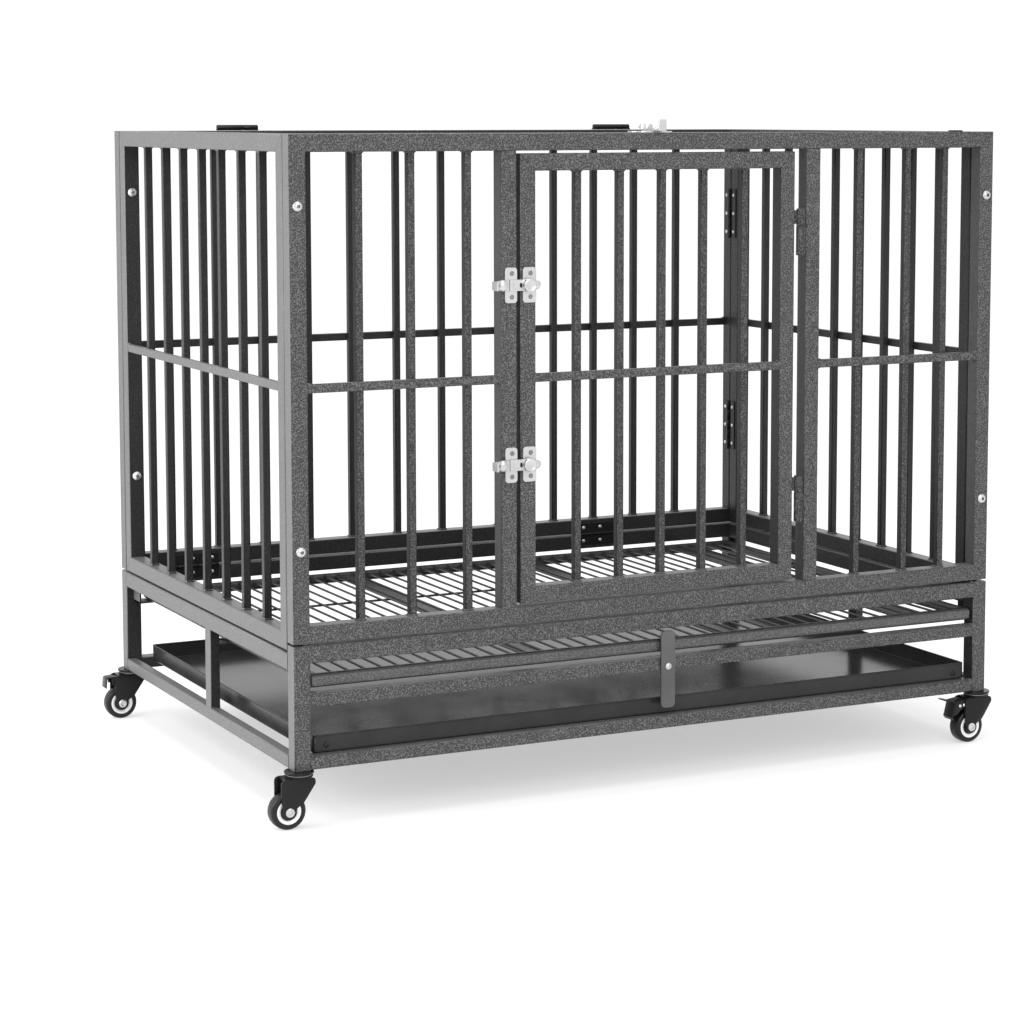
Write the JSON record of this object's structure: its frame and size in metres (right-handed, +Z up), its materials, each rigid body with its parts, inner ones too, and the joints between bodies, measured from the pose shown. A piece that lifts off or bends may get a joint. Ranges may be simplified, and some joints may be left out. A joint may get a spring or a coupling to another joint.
{
  "type": "dog crate",
  "caption": "Dog crate of square steel tube on swivel casters, with a latched front door, a lift-up roof, barred sides, a wire floor grid and a slide-out tray.",
  "frame": {"origin": "on the floor, below the middle of the whole outline, casters and latches included", "axes": "+Z up, +X along the longer side to the right as seen from the front, +Y from the front with the door to the back"},
  "size_m": [0.9664, 0.6448, 0.7753],
  "materials": {
    "hammered_grey": "hammered dark grey enamel with fine silver veins",
    "bright_zinc": "bright zinc plating",
    "black_paint": "satin black",
    "tray_black": "semi-gloss black",
    "strip_grey": "smooth dark grey enamel",
    "black_resin": "moulded black"
  },
  "bodies": {
    "crate": {"base_front_frame": "hammered_grey", "base_back_frame": "hammered_grey", "base_left_end": "hammered_grey", "base_right_end": "hammered_grey", "front_left_panel": "hammered_grey", "front_right_panel": "hammered_grey", "door_head_rail": "hammered_grey", "door_sill_rail": "hammered_grey", "left_end_panel": "hammered_grey", "right_end_panel": "hammered_grey", "back_panel": "hammered_grey", "corner_hinge_low": "black_paint", "corner_hinge_high": "black_paint", "base_hinge_left": "black_paint", "base_hinge_right": "black_paint", "latch_low_keeper": "bright_zinc", "latch_high_keeper": "bright_zinc", "roof_latch_keeper": "bright_zinc", "door_hinge_low_post_half": "hammered_grey", "door_hinge_high_post_half": "hammered_grey", "roof_hinge_left_rail_half": "black_paint", "roof_hinge_right_rail_half": "black_paint", "tray_stop_screw": "bright_zinc", "front_left_caster_head": "black_paint", "back_left_caster_head": "black_paint", "front_right_caster_head": "black_paint", "back_right_caster_head": "black_paint", "front_left_low_bolt": "bright_zinc", "front_left_high_bolt": "bright_zinc", "front_right_low_bolt": "bright_zinc", "front_right_high_bolt": "bright_zinc", "back_left_low_bolt": "bright_zinc", "back_left_high_bolt": "bright_zinc", "back_right_low_bolt": "bright_zinc", "back_right_high_bolt": "bright_zinc"},
    "front_door": {"front_door": "hammered_grey", "door_hinge_low_door_half": "hammered_grey", "door_hinge_high_door_half": "hammered_grey", "latch_low_plate": "bright_zinc", "latch_high_plate": "bright_zinc"},
    "latch_low_lever": {"latch_low_lever": "bright_zinc"},
    "latch_high_lever": {"latch_high_lever": "bright_zinc"},
    "roof_lid": {"roof_lid": "hammered_grey", "roof_hinge_left_lid_half": "black_paint", "roof_hinge_right_lid_half": "black_paint", "roof_latch_plate": "bright_zinc"},
    "roof_latch_lever": {"roof_latch_lever": "bright_zinc"},
    "tray": {"tray": "tray_black"},
    "floor_grid": {"floor_grid": "strip_grey"},
    "tray_stop": {"tray_stop": "strip_grey"},
    "front_left_fork": {"front_left_fork": "black_paint"},
    "front_left_wheel": {"front_left_wheel": "black_resin"},
    "back_left_fork": {"back_left_fork": "black_paint"},
    "back_left_wheel": {"back_left_wheel": "black_resin"},
    "front_right_fork": {"front_right_fork": "black_paint"},
    "front_right_wheel": {"front_right_wheel": "black_resin"},
    "back_right_fork": {"back_right_fork": "black_paint"},
    "back_right_wheel": {"back_right_wheel": "black_resin"},
    "back_left_brake_pedal": {"back_left_brake_pedal": "black_paint"},
    "front_right_brake_pedal": {"front_right_brake_pedal": "black_paint"}
  },
  "joints": [
    {"name": "front_door_swing", "type": "hinge", "parent": "crate", "child": "front_door", "pos_m": [0.19725, -0.3071, 0.4825], "axis": [0, 0, 1], "range_deg": [0, 165]},
    {"name": "latch_low_turn", "type": "hinge", "parent": "front_door", "child": "latch_low_lever", "pos_m": [-0.1625, -0.3071, 0.3875], "axis": [0, 1, 0], "range_deg": [0, 90]},
    {"name": "latch_high_turn", "type": "hinge", "parent": "front_door", "child": "latch_high_lever", "pos_m": [-0.1625, -0.3071, 0.5905], "axis": [0, 1, 0], "range_deg": [0, 90]},
    {"name": "roof_lift", "type": "hinge", "parent": "crate", "child": "roof_lid", "pos_m": [0.01375, 0.29265, 0.7639], "axis": [-1, 0, 0], "range_deg": [0, 110]},
    {"name": "roof_latch_turn", "type": "hinge", "parent": "roof_lid", "child": "roof_latch_lever", "pos_m": [0.00575, -0.27635, 0.76], "axis": [0, 0, 1], "range_deg": [-90, 90]},
    {"name": "tray_slide", "type": "slide", "parent": "crate", "child": "tray", "axis": [0, 1, 0], "range_m": [0, 0.5]},
    {"name": "floor_grid_slide", "type": "slide", "parent": "crate", "child": "floor_grid", "axis": [0, 1, 0], "range_m": [0, 0.5]},
    {"name": "tray_stop_turn", "type": "hinge", "parent": "crate", "child": "tray_stop", "pos_m": [0.01925, -0.3071, 0.1385], "axis": [0, 1, 0], "range_deg": [-90, 90]},
    {"name": "front_left_swivel", "type": "hinge", "parent": "crate", "child": "front_left_fork", "pos_m": [-0.43875, -0.2996, 0.055], "axis": [0, 0, 1], "continuous": true},
    {"name": "front_left_roll", "type": "hinge", "parent": "front_left_fork", "child": "front_left_wheel", "pos_m": [-0.45375, -0.2996, 0.02039], "axis": [0, 1, 0], "continuous": true},
    {"name": "back_left_swivel", "type": "hinge", "parent": "crate", "child": "back_left_fork", "pos_m": [-0.43875, 0.3054, 0.055], "axis": [0, 0, 1], "continuous": true},
    {"name": "back_left_roll", "type": "hinge", "parent": "back_left_fork", "child": "back_left_wheel", "pos_m": [-0.45375, 0.3054, 0.02039], "axis": [0, 1, 0], "continuous": true},
    {"name": "back_left_brake", "type": "hinge", "parent": "back_left_fork", "child": "back_left_brake_pedal", "pos_m": [-0.45575, 0.3054, 0.04939], "axis": [0, -1, 0], "range_deg": [0, 12]},
    {"name": "front_right_swivel", "type": "hinge", "parent": "crate", "child": "front_right_fork", "pos_m": [0.46625, -0.2996, 0.055], "axis": [0, 0, 1], "continuous": true},
    {"name": "front_right_roll", "type": "hinge", "parent": "front_right_fork", "child": "front_right_wheel", "pos_m": [0.45126, -0.30012, 0.02039], "axis": [-0.0349, 0.9994, 0], "continuous": true},
    {"name": "front_right_brake", "type": "hinge", "parent": "front_right_fork", "child": "front_right_brake_pedal", "pos_m": [0.44926, -0.30019, 0.04939], "axis": [0.0349, -0.9994, 0], "range_deg": [0, 12]},
    {"name": "back_right_swivel", "type": "hinge", "parent": "crate", "child": "back_right_fork", "pos_m": [0.46625, 0.3054, 0.055], "axis": [0, 0, 1], "continuous": true},
    {"name": "back_right_roll", "type": "hinge", "parent": "back_right_fork", "child": "back_right_wheel", "pos_m": [0.4514, 0.30331, 0.02039], "axis": [-0.1392, 0.9903, 0], "continuous": true}
  ]
}
